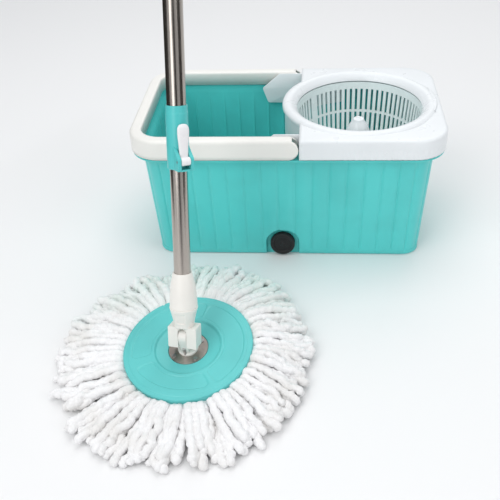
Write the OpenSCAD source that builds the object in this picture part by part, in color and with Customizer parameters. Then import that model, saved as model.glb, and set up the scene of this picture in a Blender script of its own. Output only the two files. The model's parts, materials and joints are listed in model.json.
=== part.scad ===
// Spin mop set: a tapered bucket with a spin basket, and a hand-press spin mop with a telescopic pole.
// Millimetres, +Z up. The origin is the centre of the bucket's base, on the floor.
// The mop stands on the floor in front of the bucket, towards -Y.

/* [Bucket] */
// Overall width across the rim
rim_w = 446; // [400:1:540]
// Overall depth across the rim
rim_d = 256; // [250:1:310]
// Plan radius of the rim's corners
rim_r = 47; // [42:1:56]
// Height of the rim's top above the floor
rim_top = 204; // [190:1:250]
// Height of the band that the handle and the cover share
band_h = 29; // [26:1:32]
// Inset of the tub wall from the outer face of the band
wall_inset = 12; // [11:0.5:14]
// Draft of the tub wall on each side, over its height
wall_draft = 10; // [6:0.5:14]
// Thickness of the tub wall
tub_wall = 2.4; // [2:0.1:3]
// Thickness of the tub floor
floor_t = 3; // [2.5:0.5:5]
// Thickness of the flange that the band sits over
flange_t = 3; // [2:0.5:4]

/* [Band, handle and cover] */
// Width of the band, from its outer to its inner face
band_w = 20.5; // [19.5:0.5:23]
// Thickness of the moulded walls of the handle and the cover
band_wall = 2.5; // [2:0.1:3]
// Position of the handle's pivot line along X
pivot_x = 3; // [-5:1:8]
// Gap between the handle and the cover
split_gap = 1; // [0.6:0.1:2]
// Radius of the handle's pivot pins
handle_pin_r = 4; // [3:0.5:5]
// Height of the lower edge of the cover's splash wall
splash_low = 154; // [140:1:165]

/* [Basket] */
// Centre of the basket along X
basket_x = 105; // [100:1:110]
// Radius of the basket's mouth
mouth_r = 91.5; // [80:0.5:93]
// How much narrower the basket is at its floor, in radius
basket_taper = 7.5; // [5:0.5:16]
// Height of the basket floor above the ground
basket_floor_z = 100; // [90:1:110]
// Thickness of the basket wall
basket_wall = 2; // [1.6:0.1:2.5]
// Number of slot places round the basket
slot_count = 68; // [48:4:72]
// Width of one slot
slot_w = 3.6; // [2:0.1:4]
// Height of the hub's top above the ground
hub_top = 176; // [170:1:180]
// Radius of the steel spindle pin
spindle_r = 4; // [3:0.5:5]

/* [Drain plug] */
// Centre of the drain plug along X
drain_x = -7; // [-60:1:20]
// Height of the plug's centre above the ground
drain_z = 21; // [20:0.5:26]
// Outer radius of the plug's cap
plug_r = 18.5; // [14:0.5:19]
// Radius of the drain bore
drain_bore_r = 11; // [8:0.5:12]

/* [Mop head] */
// Head pivot, sideways from the bucket's centre
head_x = -119; // [-140:1:-60]
// Head pivot, forward of the bucket's centre
head_y = -352; // [-420:1:-350]
// Height of the head's pivot above the floor
head_z = 52.4; // [50:0.1:60]
// Turn of the head about the vertical, in degrees
head_turn = -11.4; // [-20:0.1:20]
// Sideways cant of the head, in degrees
head_cant = -2.4; // [-4:0.1:4]
// Forward tip of the head, in degrees
head_tip = 9.3; // [0:0.1:10]
// Angle of the pole from the head's normal, in degrees
pole_tilt = 25.2; // [0:0.1:45]
// Radius of the mop plate
plate_r = 82.5; // [76:0.5:86]
// Drop from the pivot to the plate's top face
plate_drop = 20; // [20:0.5:24]
// Height of the plate's side band
plate_skirt = 9; // [8:0.5:12]
// Radius that the strands spread to
strand_r = 164; // [150:1:175]
// Height of the strands at their outer end
strand_h = 16; // [10:1:22]

/* [Pole] */
// Outer radius of the lower tube
lower_r = 10.2; // [9.5:0.1:11]
// Wall thickness of the upper tube
upper_wall = 0.7; // [0.6:0.1:1.2]
// Radial clearance between the two tubes
tube_gap = 0.1; // [0.05:0.01:0.1]
// Wall thickness of the lower tube
tube_wall = 0.8; // [0.6:0.1:1.2]
// Length of the lower tube
lower_len = 620; // [560:5:700]
// Length of the upper tube
upper_len = 640; // [580:5:720]
// Distance from the pivot to the lower end of the lock sleeve
sleeve_start = 213; // [200:1:240]
// Length of the lock sleeve
sleeve_len = 72; // [66:1:90]
// Wall thickness of the lock sleeve over the upper tube
sleeve_wall = 1.8; // [1.5:0.1:3]
// Stroke of the pole
stroke = 300; // [200:10:300]
// Length of the drive rod's twist for one turn
rod_lead = 100; // [80:5:160]
// Width of the twisted drive rod
rod_w = 9; // [7:0.5:10]
// Thickness of the twisted drive rod
rod_t = 2.6; // [2:0.1:3]
// Wall thickness of the grip over the upper tube
grip_wall = 3; // [2.5:0.5:6]
// Length of the grip
grip_len = 130; // [100:5:160]
// Radius of the hanging hole
hang_r = 6; // [4:0.5:8]

/* [Fork and ferrule] */
// Half width of the fork, outside
fork_half = 19; // [17:0.5:22]
// Half width of the swivel lug
lug_half = 5.2; // [4.5:0.1:7]
// Radius of the tilt pin
tilt_pin_r = 3; // [2.5:0.5:4]
// Largest radius of the ferrule, at its seam
ferrule_r = 17.5; // [16:0.5:20]
// Distance from the pivot to the top of the ferrule
ferrule_top = 85; // [75:1:100]

/* [Lock lever] */
// Angle of the lever round the pole, from the front towards the right
lever_turn = 45; // [0:5:90]
// Length of the lever from its pin to its tip
lever_len = 42; // [36:1:50]
// Width of the lever's paddle
lever_w = 14; // [11:0.5:18]
// Half width of the lever's barrel
barrel_half = 5.5; // [4.5:0.1:7]

/* [Hidden] */
$fn = 64;
eps = 0.01;              // overlap that makes cuts clean
far = 1000;              // longer than the whole set
run_gap = 0.06;          // radial clearance of a pin in its bore
free_gap = 0.4;          // clearance between pieces that pass each other

teal = [0.33, 0.77, 0.76];
white = [0.93, 0.93, 0.91];
ivory = [0.95, 0.94, 0.90];
steel = [0.72, 0.71, 0.70];
black = [0.05, 0.05, 0.05];

// Heights of the rim
band_low = rim_top - band_h;
flange_top = band_low - 1.5;
wall_top = flange_top + 8;
pivot_z = rim_top - band_h / 2;
end_r = band_h / 2;
cover_x = pivot_x + end_r + split_gap;
base_d = rim_d - 2 * wall_inset - 2 * wall_draft;
foot_r = rim_r - wall_inset - 6;
foot_bevel = 5;

// A plan outline with round corners, inset from the rim's outer face
module plan(inset, r = rim_r) {
  corner = max(r - inset, 2);
  w = rim_w - 2 * inset;
  d = rim_d - 2 * inset;
  square([w - 2 * corner, d], center = true);
  square([w, d - 2 * corner], center = true);
  for (sx = [-1, 1], sy = [-1, 1])
    translate([sx * (w / 2 - corner), sy * (d / 2 - corner)]) circle(corner);
}

// A ring between two insets, from z0 to z1
module plan_ring(outer, inner, z0, z1) {
  translate([0, 0, z0]) linear_extrude(z1 - z0) difference() {
    plan(outer);
    plan(inner);
  }
}

// A cylinder along Y from y0 to y1
module along_y(r, y0, y1) {
  translate([0, y1, 0]) rotate([90, 0, 0]) cylinder(r = r, h = y1 - y0);
}

// A cylinder along X, centred
module along_x(r, length) {
  rotate([0, 90, 0]) cylinder(r = r, h = length, center = true);
}

// ---- Tub ----

// The tapered body: thin plan slabs, hulled, with a bevelled foot
module tub_body(shrink, z0, z1) {
  foot = wall_inset + wall_draft + shrink;
  hull() {
    translate([0, 0, z0]) linear_extrude(eps) plan(foot + foot_bevel, foot_r + foot + foot_bevel);
    translate([0, 0, z0 + foot_bevel]) linear_extrude(eps)
      plan(foot - wall_draft * foot_bevel / flange_top, foot_r + foot);
    translate([0, 0, z1 - eps]) linear_extrude(eps)
      plan(wall_inset + shrink + wall_draft * (flange_top - z1) / flange_top);
  }
}

step = 0.3;               // offset that keeps one wall inside another
pocket_y = -base_d / 2 + 6;
pocket_half = plug_r + 5;

// The arched outline of the drain pocket, in X and Z, grown by g
module arch(g) {
  translate([drain_x, drain_z]) circle(pocket_half + g);
  translate([drain_x - pocket_half - g, -foot_bevel]) square([2 * (pocket_half + g), drain_z + foot_bevel]);
}

module arch_block(g, y0, y1) {
  translate([0, y1, 0]) rotate([90, 0, 0]) linear_extrude(y1 - y0) arch(g);
}

post_half = end_r - 4.5;
post_y = rim_d / 2 - wall_inset + tub_wall;
post_t = 7;

// A post on the flange that carries one end of the handle
module pivot_post() {
  difference() {
    union() {
      translate([pivot_x - post_half, post_y - post_t, flange_top - eps])
        cube([2 * post_half, post_t, pivot_z - flange_top + eps]);
      translate([pivot_x, 0, pivot_z]) along_y(post_half, post_y - post_t, post_y);
    }
    translate([pivot_x, 0, pivot_z]) along_y(handle_pin_r + run_gap, 0, far);
  }
}

module tub() color(teal) {
  difference() {
    union() {
      difference() {
        tub_body(0, 0, flange_top);
        tub_body(tub_wall, floor_t, flange_top + eps);
      }
      plan_ring(1.5, wall_inset + tub_wall / 2, flange_top - flange_t, flange_top);
      difference() {
        plan_ring(wall_inset + step, wall_inset + tub_wall - step, flange_top - flange_t, wall_top);
        translate([pivot_x - end_r - 2, -far / 2, flange_top]) cube([2 * end_r + 4, far, far]);
      }
      intersection() {
        arch_block(tub_wall, -base_d / 2 - wall_draft, pocket_y + tub_wall);
        tub_body(tub_wall / 2, floor_t / 3, flange_top);
      }
    }
    arch_block(0, -far / 2, pocket_y);
    translate([drain_x, 0, drain_z]) along_y(drain_bore_r, -far / 2, pocket_y + 10);
  }
  pivot_post();
  mirror([0, 1, 0]) pivot_post();
}

// ---- Splash cover ----

crest_r = mouth_r + 12;
ring_r = mouth_r + 22;
ear_out = band_w + 0.6;
ear_t = 2;
wall_r = ring_r - 3.5;
ear_x = basket_x - 22;

// Outline of one ear in X and Z: a plate inside the handle's arm
module ear_outline() {
  polygon([
    [-17, rim_top], [-45, rim_top - 25], [-36, splash_low], [ear_x, splash_low], [ear_x, rim_top]
  ]);
}

module ear() {
  translate([0, rim_d / 2 - ear_out, 0]) rotate([90, 0, 0]) linear_extrude(ear_t) ear_outline();
}

module right_part() {
  intersection() {
    children();
    translate([cover_x, -far / 2, 0]) cube([far, far, far]);
  }
}

module cover_ring() {
  t = band_wall;
  translate([basket_x, 0, 0]) rotate_extrude() polygon([
    [mouth_r, rim_top - 8], [mouth_r + 2, rim_top - 4], [mouth_r + 8, rim_top + 1],
    [crest_r, rim_top + 3], [ring_r - 3, rim_top + 1.5], [ring_r, rim_top - 3],
    [ring_r, rim_top - 6], [ring_r - t, rim_top - 6], [ring_r - t, rim_top - 3.5],
    [ring_r - 4.5, rim_top - 1.5], [crest_r, rim_top], [mouth_r + 9, rim_top - t],
    [mouth_r + 4.5, rim_top - 6], [mouth_r + 2.5, rim_top - 9]
  ]);
}

module splash_cover() color(white) {
  right_part() {
    union() {
      plan_ring(0, band_wall, band_low, rim_top);
      plan_ring(wall_inset, wall_inset + tub_wall, wall_top, rim_top - band_wall + eps);
      difference() {
        translate([0, 0, rim_top - band_wall]) linear_extrude(band_wall) plan(eps);
        translate([basket_x, 0, 0]) cylinder(r = ring_r - 4, h = far);
      }
    }
  }
  cover_ring();
  difference() {
    translate([basket_x, 0, splash_low]) cylinder(r = wall_r, h = rim_top - 2 - splash_low);
    translate([basket_x, 0, 0]) cylinder(r = wall_r - 2, h = far);
    translate([ear_x, -far / 2, 0]) cube([far, far, far]);
    for (s = [-1, 1])
      translate([-far / 2, s * (rim_d / 2 - ear_out + far / 2) - far / 2, 0]) cube([far, far, far]);
  }
  ear();
  mirror([0, 1, 0]) ear();
}

// ---- Spindle ----

tower_top = basket_floor_z - 3;
pin_low = 45;
pin_top = hub_top - 18;

module spindle_tower() color(teal) translate([basket_x, 0, 0]) difference() {
  union() {
    translate([0, 0, floor_t]) cylinder(r1 = 24, r2 = 12, h = tower_top - floor_t);
    translate([0, 0, floor_t]) cylinder(r = 30, h = 4);
  }
  translate([0, 0, pin_low]) cylinder(r = spindle_r, h = far);
}

module spindle_pin() color(steel) translate([basket_x, 0, pin_low])
  cylinder(r = spindle_r, h = pin_top - pin_low);

// ---- Handle ----

inner_low = wall_top + 1.5;

module carry_handle() color(ivory) difference() {
  intersection() {
    union() {
      plan_ring(0, band_wall, band_low, rim_top);
      plan_ring(band_w - band_wall, band_w, inner_low, rim_top);
      plan_ring(band_wall / 2, band_w - band_wall / 2, rim_top - band_wall, rim_top);
    }
    union() {
      translate([pivot_x - far, -far / 2, 0]) cube([far, far, far]);
      translate([pivot_x, 0, pivot_z]) along_y(end_r, -far / 2, far / 2);
    }
  }
  translate([pivot_x, 0, pivot_z]) {
    along_y(handle_pin_r, -rim_d / 2 + 1, -rim_d / 2 + band_w - 1);
    along_y(handle_pin_r, rim_d / 2 - band_w + 1, rim_d / 2 - 1);
  }
}

module handle_pins() color(steel) translate([pivot_x, 0, pivot_z]) {
  along_y(handle_pin_r, -rim_d / 2 + 1, -rim_d / 2 + band_w - 1);
  along_y(handle_pin_r, rim_d / 2 - band_w + 1, rim_d / 2 - 1);
}

// ---- Basket ----

basket_rim_z = rim_top - 9.6;
basket_floor_r = mouth_r - basket_taper;
slot_split = basket_floor_z + 47;
slot_low = basket_floor_z + 7;
slot_high = basket_rim_z - 11;
slot_rib = 3.4;
post_turn = 137.6;

module slot(z0, z1) {
  translate([basket_floor_r - 6, -slot_w / 2, z0]) cube([16, slot_w, z1 - z0]);
}

module spin_basket() color(white) translate([basket_x, 0, 0]) difference() {
  rotate_extrude() polygon([
    [0, basket_floor_z], [basket_floor_r + basket_wall, basket_floor_z],
    [mouth_r + basket_wall, basket_rim_z - 3], [mouth_r + 8, basket_rim_z - 3],
    [mouth_r + 8, basket_rim_z - 1], [mouth_r, basket_rim_z],
    [basket_floor_r, basket_floor_z + 2.5], [0, basket_floor_z + 2.5]
  ]);
  for (i = [1 : slot_count / 2 - 1], s = [0, 180]) rotate([0, 0, post_turn + s + i * 360 / slot_count]) {
    slot(slot_low, slot_split - slot_rib / 2);
    slot(slot_split + slot_rib / 2, slot_high);
  }
  cylinder(r = 9, h = far);
  for (a = [0 : 120 : 240]) rotate([0, 0, a]) translate([screw_circle, 0, 0]) cylinder(r = 1.6, h = far);
}

hub_low = basket_floor_z + 2.5;
bush_r = spindle_r + 2.5;
bush_low = hub_low + 6;
bush_high = pin_top - 8;
ball_r = spindle_r;
screw_circle = 28;

module basket_hub() color(white) translate([basket_x, 0, 0]) difference() {
  rotate_extrude() polygon([
    [0, hub_low], [35, hub_low], [35, hub_low + 3], [27, hub_low + 12], [22, hub_low + 30],
    [18, hub_top - 21], [13, hub_top - 8], [8, hub_top - 1.5], [6.5, hub_top], [0, hub_top]
  ]);
  translate([0, 0, bush_low]) cylinder(r = bush_r, h = bush_high - bush_low);
  cylinder(r = spindle_r + 1.5, h = bush_low + eps);
  translate([0, 0, bush_high - eps]) cylinder(r = ball_r + 0.1, h = pin_top + 2 * ball_r - bush_high + 0.2);
  for (a = [0 : 120 : 240]) rotate([0, 0, a])
    translate([screw_circle, 0, 0]) cylinder(r = 1.6, h = hub_low + 9);
}

module hub_screws() color(steel) translate([basket_x, 0, 0])
  for (a = [0 : 120 : 240]) rotate([0, 0, a]) translate([screw_circle, 0, basket_floor_z - 2]) {
    cylinder(r = 3, h = 2);
    cylinder(r = 1.6, h = 12);
  }

module hub_bush() color(ivory) translate([basket_x, 0, bush_low]) difference() {
  cylinder(r = bush_r, h = bush_high - bush_low);
  translate([0, 0, -1]) cylinder(r = spindle_r + run_gap, h = far);
}

module bearing_ball() color(steel) translate([basket_x, 0, pin_top + ball_r + 0.1]) sphere(ball_r);

// ---- Drain plug ----

seal_t = 1.5;
plug_t = 8.5;

module drain_plug() color(black) translate([drain_x, pocket_y - seal_t, drain_z]) rotate([90, 0, 0]) {
  rotate_extrude() polygon([
    [0, 0], [plug_r, 0], [plug_r, plug_t - 2.5], [plug_r - 2.5, plug_t], [plug_r - 6, plug_t],
    [plug_r - 7, plug_t - 1.5], [0, plug_t - 1.5]
  ]);
  translate([0, 0, -14]) cylinder(r = drain_bore_r - 0.08, h = 14 + eps);
}

module drain_seal() color(black) translate([drain_x, pocket_y, drain_z]) rotate([90, 0, 0]) difference() {
  cylinder(r = plug_r - 1.5, h = seal_t);
  translate([0, 0, -1]) cylinder(r = drain_bore_r, h = 5);
}

// ---- Mop head, in the head's own frame: the pivot is at 0 and +Z is the plate's normal ----

module at_head() translate([head_x, head_y, head_z]) rotate([head_tip, head_cant, head_turn]) children();

plate_top = -plate_drop;
plate_t = 3;
dish_z = plate_top - 5;
centre_r = 25;
centre_t = 1.2;
ledge_t = 2.5;
ledge_r = 15.5;
ring_top = plate_top - plate_t - 3;
ring_t = 7;

module mop_plate() color(teal) at_head() difference() {
  union() {
    rotate_extrude() polygon([
      [ledge_r, dish_z - centre_t - ledge_t], [centre_r + 2, dish_z - centre_t - ledge_t],
      [43, plate_top - plate_t - 2], [46, plate_top - plate_t], [plate_r - 2.5, plate_top - plate_t],
      [plate_r - 2.5, plate_top - plate_skirt], [plate_r, plate_top - plate_skirt],
      [plate_r, plate_top - 1.5], [plate_r - 1.5, plate_top], [43, plate_top],
      [41, plate_top - 2.5], [centre_r + 0.5, dish_z + 0.5], [centre_r + 0.2, dish_z - centre_t],
      [ledge_r, dish_z - centre_t]
    ]);
    for (a = [0 : 90 : 270]) rotate([0, 0, a + 30]) translate([67, 0, ring_top])
      cylinder(r = 5, h = plate_top - plate_t - ring_top + eps);
  }
  for (a = [45 : 90 : 315]) rotate([0, 0, a]) translate([20, 0, -far / 2]) cylinder(r = 1.4, h = far);
}

module centre_plate() color(steel) at_head() difference() {
  translate([0, 0, dish_z - centre_t]) cylinder(r = centre_r, h = centre_t);
  for (a = [45 : 90 : 315]) rotate([0, 0, a]) translate([20, 0, -far / 2]) cylinder(r = 1.4, h = far);
  for (s = [-1, 1]) translate([0, s * 11, -far / 2]) cylinder(r = 2, h = far);
}

module plate_screws() color(steel) at_head()
  for (a = [45 : 90 : 315]) rotate([0, 0, a]) translate([20, 0, dish_z - centre_t - ledge_t]) {
    cylinder(r = 1.4, h = centre_t + ledge_t + eps);
    translate([0, 0, centre_t + ledge_t]) cylinder(r = 2.6, h = 1.4);
  }

lug_r = 10.5;
lug_foot_r = 16;
lug_foot_t = 4;

module swivel_lug() color(ivory) at_head() difference() {
  union() {
    along_x(lug_r, 2 * lug_half);
    translate([-lug_half, -lug_r, dish_z]) cube([2 * lug_half, 2 * lug_r, -dish_z]);
    translate([0, 0, dish_z]) cylinder(r = lug_foot_r, h = lug_foot_t);
  }
  along_x(tilt_pin_r + run_gap, far);
  for (s = [-1, 1]) translate([0, s * 11, -far / 2]) cylinder(r = 2, h = far / 2 - 12);
}

module lug_screws() color(steel) at_head()
  for (s = [-1, 1]) translate([0, s * 11, dish_z - centre_t]) {
    translate([0, 0, -2]) cylinder(r = 3.6, h = 2);
    cylinder(r = 2, h = -dish_z + centre_t - 12);
  }

module refill_ring() color(white) at_head() difference() {
  translate([0, 0, ring_top - ring_t]) cylinder(r = plate_r - 3, h = ring_t);
  translate([0, 0, -far / 2]) cylinder(r = 52, h = far);
}

// The strands as one closed solid: flat on the floor, thick under the plate, thinning to the outside
module mop_strands() color([0.97, 0.97, 0.96]) difference() {
  intersection() {
    hull() {
      translate([head_x, head_y, 0]) cylinder(r = strand_r, h = strand_h, $fn = 48);
      translate([head_x, head_y, 0]) cylinder(r = strand_r - 12, h = strand_h + 10, $fn = 48);
      at_head() translate([0, 0, plate_top - 14]) cylinder(r = plate_r + 38, h = 16, $fn = 48);
      at_head() translate([0, 0, plate_top - 14]) cylinder(r = plate_r + 12, h = 20, $fn = 48);
    }
    translate([-far, -far, 0]) cube([2 * far, 2 * far, far]);
  }
  at_head() translate([0, 0, ring_top - ring_t - 0.3]) cylinder(r = plate_r + 0.5, h = far);
}

// ---- Pole, in its own frame: the pivot is at 0 and +Z runs up the pole ----

module at_pole() at_head() rotate([-pole_tilt, 0, 0]) children();

module tube(r_out, r_in, z0, z1) {
  translate([0, 0, z0]) difference() {
    cylinder(r = r_out, h = z1 - z0);
    translate([0, 0, -1]) cylinder(r = r_in, h = z1 - z0 + 2);
  }
}

fork_gap = lug_half + 0.3;
fork_deep = 11;
fork_low = -13;
neck_z = 17;
seam_z = 40;
lower_low = 34;
lower_top = lower_low + lower_len;
upper_in = lower_r + tube_gap;
upper_r = upper_in + upper_wall;
lower_in = lower_r - tube_wall;
upper_low = sleeve_start + 17;
upper_top = upper_low + upper_len;

module ferrule() color(ivory) at_pole() difference() {
  union() {
    rotate_extrude() polygon([
      [0, neck_z - 3], [12.3, neck_z - 3], [12.3, neck_z + 1], [ferrule_r - 0.3, seam_z - 3],
      [ferrule_r, seam_z - 1], [ferrule_r, seam_z], [ferrule_r - 0.6, seam_z + 0.8],
      [ferrule_r - 1, seam_z + 15], [ferrule_r - 2.2, ferrule_top - 17], [ferrule_r - 4, ferrule_top - 9],
      [lower_r + 1.9, ferrule_top - 2], [lower_r + 1.2, ferrule_top], [0, ferrule_top]
    ]);
    translate([-fork_half, -fork_deep, fork_low]) cube([2 * fork_half, 2 * fork_deep, neck_z - fork_low]);
  }
  translate([-fork_gap, -far / 2, fork_low - 1]) cube([2 * fork_gap, far, 10 - fork_low]);
  translate([0, 0, 9]) along_y(fork_gap, -far / 2, far / 2);
  along_x(tilt_pin_r, 2 * fork_half - 3);
  along_x(lug_r + free_gap, 2 * fork_gap);
  translate([0, 0, lower_low]) cylinder(r = lower_r, h = far);
}

module tilt_pin() color(steel) at_pole() along_x(tilt_pin_r, 2 * fork_half - 3);

module lower_tube() color(steel) at_pole() tube(lower_r, lower_in, lower_low, lower_top);

nut_r = 6.2;
nut_t = 8;
holder_low = lower_top - 24;
bush_z = lower_top + 4;
bush_t = 12;
neck_r = 7.4;
rod_turn = 360 / rod_lead;
nut_low = lower_top - 16;

module nut_holder() color(black) at_pole() difference() {
  union() {
    translate([0, 0, holder_low]) cylinder(r = lower_in, h = lower_top - holder_low + eps);
    translate([0, 0, lower_top]) cylinder(r = lower_r - 0.1, h = bush_z - lower_top);
    translate([0, 0, bush_z - eps]) cylinder(r = neck_r, h = bush_t + 3);
  }
  translate([0, 0, holder_low - 1]) cylinder(r = rod_w / 2 + 0.7, h = far);
  translate([0, 0, nut_low]) cylinder(r = nut_r, h = nut_t + 2);
}

// The slot is wide enough for the rod's twist over the nut's thickness
module drive_nut() color("gold") at_pole() difference() {
  translate([0, 0, nut_low]) cylinder(r = nut_r, h = nut_t);
  translate([0, 0, nut_low + nut_t / 2]) rotate([0, 0, -rod_turn * (upper_top - nut_low - nut_t / 2)])
    cube([rod_w + 0.5, rod_t + rod_w * sin(rod_turn * nut_t / 2) + 0.4, far / 4], center = true);
}

module clutch_ring() color(steel) at_pole()
  tube(nut_r, rod_w / 2 + 0.7, nut_low + nut_t, nut_low + nut_t + 2);

module guide_bush() color(white) at_pole()
  tube(upper_in - 0.05, neck_r + run_gap, bush_z + 0.2, bush_z + bush_t);

module bush_clip() color(steel) at_pole()
  tube(upper_in - 1, neck_r, bush_z + bush_t + 0.3, bush_z + bush_t + 2.3);

module upper_tube() color(steel) at_pole() tube(upper_r, upper_in, upper_low, upper_top);

// Places a child at the lever's side of the pole: +X is outward, +Y is across
module at_lever() at_pole() rotate([0, 0, lever_turn - 90]) children();

sleeve_r = upper_r + sleeve_wall;
lever_z = sleeve_start + 11;
lever_x = sleeve_r + 5.9;
barrel_r = 5;
cheek_t = 4;
cheek_half = barrel_half + 0.3;
cheek_top = lever_z + 7;
pad_in = lower_r + 0.08;

module lock_sleeve() color(teal) at_lever() difference() {
  union() {
    translate([0, 0, sleeve_start]) rotate([0, 0, 180]) cylinder(r = sleeve_r, h = sleeve_len);
    difference() {
      translate([0, -cheek_half - cheek_t, sleeve_start])
        cube([lever_x + 3.5, 2 * (cheek_half + cheek_t), cheek_top - sleeve_start]);
      translate([sleeve_r - 1, -cheek_half, sleeve_start + 2]) cube([far, 2 * cheek_half, far]);
    }
  }
  rotate([0, 0, 180]) {
    translate([0, 0, sleeve_start - 1]) cylinder(r = pad_in, h = far);
    translate([0, 0, upper_low]) cylinder(r = upper_r, h = far);
  }
  translate([pad_in - 1, -4, lever_z - 4]) cube([10, 8, 8]);
  translate([lever_x, 0, lever_z]) along_y(1.5, -far / 2, far / 2);
}

// The pad that the lever's cam presses against the lower tube
module clamp_pad() color(black) at_lever() difference() {
  translate([pad_in - 1, -3.9, lever_z - 3.9]) cube([sleeve_r - pad_in + 1.2, 7.8, 7.8]);
  cylinder(r = pad_in, h = far);
}

module lever_pin() color(steel) at_lever() translate([lever_x, 0, lever_z])
  along_y(1.5, -cheek_half - cheek_t, cheek_half + cheek_t);

paddle_t = 4.5;
paddle_x = sleeve_r + 0.6;

module lock_lever() color(white) at_lever() difference() {
  union() {
    translate([lever_x, 0, lever_z]) along_y(barrel_r - 0.1, -barrel_half, barrel_half);
    translate([paddle_x, -barrel_half, lever_z]) cube([paddle_t, 2 * barrel_half, 12]);
    translate([paddle_x, -lever_w / 2, lever_z + 11]) cube([paddle_t, lever_w, lever_len - 11 - lever_w / 2]);
    translate([paddle_x, 0, lever_z + lever_len - lever_w / 2]) rotate([0, 90, 0])
      cylinder(r = lever_w / 2, h = paddle_t);
  }
  translate([lever_x, 0, lever_z]) along_y(1.5 + run_gap, -far / 2, far / 2);
}

plug_low = upper_top - 20;
rod_low = holder_low - stroke - 8;

module twist_rod() color(steel) at_pole() translate([0, 0, upper_top])
  mirror([0, 0, 1]) linear_extrude(upper_top - rod_low, twist = rod_turn * (upper_top - rod_low),
    slices = ceil((upper_top - rod_low) / 4), segments = 4, $fn = 4) square([rod_w, rod_t], center = true);

module stroke_stop() color(black) at_pole() translate([0, 0, rod_low - 6]) cylinder(r = 6.5, h = 6);

module rod_plug() color(black) at_pole() difference() {
  translate([0, 0, plug_low]) cylinder(r = upper_in, h = upper_top - plug_low);
  translate([0, 0, plug_low - 1]) cylinder(r = rod_w / 2 + 0.3, h = far);
}

grip_low = upper_top + 6 - grip_len;
grip_r = upper_r + grip_wall;
grip_top = upper_top + 6;
cap_t = 5.5;

module grip() color(teal) at_pole() difference() {
  union() {
    translate([0, 0, grip_low]) cylinder(r1 = upper_r + 1, r2 = grip_r, h = 14);
    translate([0, 0, grip_low + 14]) cylinder(r = grip_r, h = grip_len - 14);
    translate([0, 0, grip_low + 10]) cylinder(r1 = grip_r, r2 = grip_r + 0.8, h = 4);
  }
  translate([0, 0, grip_low - 1]) cylinder(r = upper_r, h = upper_top - grip_low + 1);
  translate([0, 0, upper_top - eps]) cylinder(r = upper_r - 2, h = far);
}

cap_eye = grip_top + 4 + hang_r + 4;

module hang_cap() color(ivory) at_pole() difference() {
  union() {
    translate([0, 0, upper_top + 0.2]) cylinder(r = upper_r - 2, h = grip_top - upper_top);
    translate([0, 0, grip_top]) cylinder(r1 = grip_r, r2 = grip_r - 2, h = 4);
    translate([-cap_t, -hang_r - 4, grip_top]) cube([2 * cap_t, 2 * (hang_r + 4), cap_eye - grip_top]);
    translate([0, 0, cap_eye]) along_x(hang_r + 4, 2 * cap_t);
  }
  translate([0, 0, cap_eye]) along_x(hang_r, far);
}

tub();
splash_cover();
spindle_tower();
spindle_pin();
carry_handle();
handle_pins();
spin_basket();
basket_hub();
hub_screws();
hub_bush();
bearing_ball();
drain_plug();
drain_seal();
mop_plate();
centre_plate();
plate_screws();
swivel_lug();
lug_screws();
refill_ring();
mop_strands();
ferrule();
tilt_pin();
lower_tube();
nut_holder();
drive_nut();
clutch_ring();
bush_clip();
guide_bush();
upper_tube();
lock_sleeve();
clamp_pad();
lever_pin();
twist_rod();
stroke_stop();
rod_plug();
grip();
hang_cap();
lock_lever();
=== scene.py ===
# %% [markdown]
# # A spin mop and its bucket
# This lesson dresses a CAD model of a spin mop set. The CAD model gives every size and every joint, and
# it is loaded as a fixed frame. Each visible piece is then made again as a smooth surface, or keeps its
# CAD mesh and gets a better material.

# %% Load the frame
import math

import bmesh
import bpy
import numpy as np
from mathutils import Matrix, Vector
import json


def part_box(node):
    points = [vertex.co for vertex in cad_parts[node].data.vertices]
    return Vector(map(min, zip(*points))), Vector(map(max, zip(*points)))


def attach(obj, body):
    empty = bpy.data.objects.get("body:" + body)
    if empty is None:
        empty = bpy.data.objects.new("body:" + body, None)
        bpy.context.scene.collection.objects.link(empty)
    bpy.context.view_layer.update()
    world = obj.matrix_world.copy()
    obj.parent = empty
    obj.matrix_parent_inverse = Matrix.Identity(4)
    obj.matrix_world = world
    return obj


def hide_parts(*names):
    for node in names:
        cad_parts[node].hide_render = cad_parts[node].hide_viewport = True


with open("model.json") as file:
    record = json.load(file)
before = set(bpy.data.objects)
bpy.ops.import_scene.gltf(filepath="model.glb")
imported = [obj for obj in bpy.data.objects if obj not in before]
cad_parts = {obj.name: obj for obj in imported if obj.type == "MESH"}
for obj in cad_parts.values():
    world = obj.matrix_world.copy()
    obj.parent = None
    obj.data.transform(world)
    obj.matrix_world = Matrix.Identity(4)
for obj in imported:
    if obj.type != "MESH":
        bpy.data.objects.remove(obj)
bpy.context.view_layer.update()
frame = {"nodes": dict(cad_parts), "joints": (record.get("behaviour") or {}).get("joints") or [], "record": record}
joints = {joint["name"]: joint for joint in frame["joints"]}
MM = 0.001

# %% [markdown]
# The camera comes first, because every later choice is judged through it. It stands in front of the
# bucket and well above it. Its place and its three turns are plain values here, and a matrix is made
# from them, which avoids the question of the order that turns are applied in.

# %% Camera
CAMERA_PLACE = np.array([0.0377, -1.05042, 0.68543])
CAMERA_PITCH, CAMERA_YAW, CAMERA_ROLL = 0.6202, -0.1002, 0.0494
LENS_MM, SENSOR_MM = 54.92, 36.0


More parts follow.
